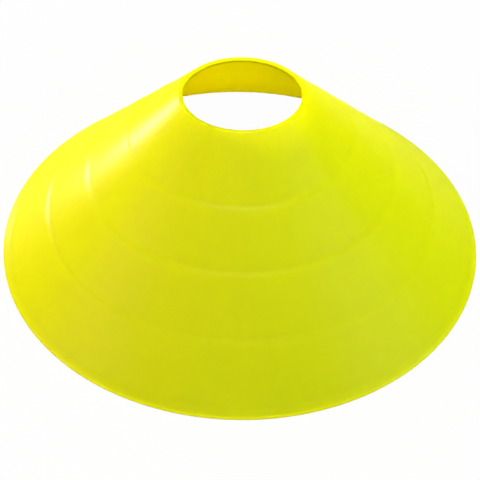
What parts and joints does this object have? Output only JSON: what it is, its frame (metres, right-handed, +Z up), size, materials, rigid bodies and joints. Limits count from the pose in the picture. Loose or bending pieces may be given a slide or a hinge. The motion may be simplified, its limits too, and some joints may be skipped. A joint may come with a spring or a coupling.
{
  "type": "sports marker cone",
  "caption": "Low truncated cone for marking out a sports pitch: a thin soft yellow shell, open underneath so it nests, with a round carrying hole at the top and stepped rings round its wall.",
  "frame": {"origin": "centre of the foot ring, on the ground", "axes": "+Z up along the cone's axis, through the hole; X and Y are free, because the cone is round"},
  "size_m": [0.19, 0.19, 0.0665],
  "materials": {
    "yellow_polyethylene": "satin, as moulded"
  },
  "bodies": {
    "root": {"cone_shell": "yellow_polyethylene"}
  },
  "joints": []
}
